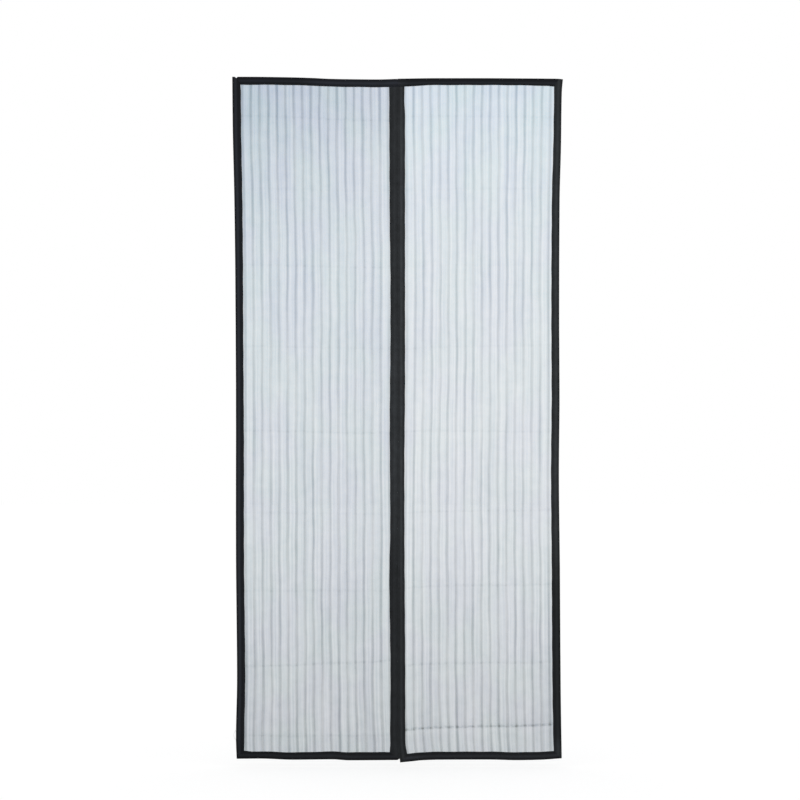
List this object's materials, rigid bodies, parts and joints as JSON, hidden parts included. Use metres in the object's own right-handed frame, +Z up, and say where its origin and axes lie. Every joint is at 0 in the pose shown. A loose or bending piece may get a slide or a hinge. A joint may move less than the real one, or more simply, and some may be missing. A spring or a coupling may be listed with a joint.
{
  "type": "magnetic door insect screen",
  "caption": "Hanging door insect screen of ribbed net panels bound in black tape, which meet at magnets down the middle and let a person walk through.",
  "frame": {"origin": "middle of the back face of the joining patch at the top, where the screen lies against the door header", "axes": "+Z up along the height of the hanging screen, +Y out of its back towards the door frame, +X to the right as seen from the front"},
  "size_m": [1.0169, 0.0096, 2.1124],
  "materials": {
    "net": "fine polyester net with denser ribs",
    "black_tape": "matt woven binding tape",
    "magnet": "rubber-bonded ferrite, matt"
  },
  "bodies": {
    "root": {"joining_patch": "black_tape", "left_mesh": "net", "left_top_tape": "black_tape", "left_outer_tape": "black_tape", "left_centre_tape": "black_tape", "left_bottom_tape": "black_tape", "left_magnet_01": "magnet", "left_magnet_02": "magnet", "left_magnet_03": "magnet", "left_magnet_04": "magnet", "left_magnet_05": "magnet", "left_magnet_06": "magnet", "left_magnet_07": "magnet", "left_magnet_08": "magnet", "left_magnet_09": "magnet", "left_magnet_10": "magnet", "left_magnet_11": "magnet", "left_magnet_12": "magnet", "left_magnet_13": "magnet", "right_mesh": "net", "right_top_tape": "black_tape", "right_outer_tape": "black_tape", "right_centre_tape": "black_tape", "right_bottom_tape": "black_tape", "right_magnet_01": "magnet", "right_magnet_02": "magnet", "right_magnet_03": "magnet", "right_magnet_04": "magnet", "right_magnet_05": "magnet", "right_magnet_06": "magnet", "right_magnet_07": "magnet", "right_magnet_08": "magnet", "right_magnet_09": "magnet", "right_magnet_10": "magnet", "right_magnet_11": "magnet", "right_magnet_12": "magnet", "right_magnet_13": "magnet"}
  },
  "joints": []
}
